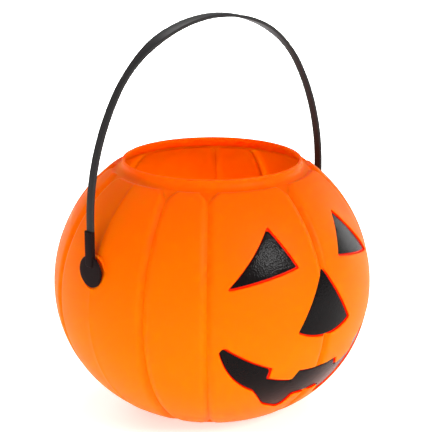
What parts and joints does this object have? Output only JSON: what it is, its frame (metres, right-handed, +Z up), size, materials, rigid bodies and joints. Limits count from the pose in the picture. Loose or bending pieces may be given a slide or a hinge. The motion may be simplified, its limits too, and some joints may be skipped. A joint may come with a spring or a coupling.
{
  "type": "candy pail",
  "caption": "Lobed pumpkin-shaped candy pail with a recessed jack-o'-lantern face in black and a strap handle that swings front to back.",
  "frame": {"origin": "on the table under the middle of the base", "axes": "+Z up, -Y the way the face looks, X along the handle's pivot line; left is -X"},
  "size_m": [0.21, 0.2091, 0.2618],
  "materials": {
    "pail_orange": "satin, slightly see-through moulded orange",
    "face_black": "fine leathery grain",
    "strap_black": "soft gloss",
    "end_black": "satin"
  },
  "bodies": {
    "pail": {"pail_shell": "pail_orange", "left_eye_inlay": "face_black", "right_eye_inlay": "face_black", "nose_inlay": "face_black", "mouth_inlay": "face_black"},
    "handle": {"handle_strap": "strap_black", "left_handle_end": "end_black", "right_handle_end": "end_black"}
  },
  "joints": [
    {"name": "handle_swing", "type": "hinge", "parent": "pail", "child": "handle", "pos_m": [0, 0, 0.1127], "axis": [1, 0, 0], "range_deg": [-90, 90]}
  ]
}
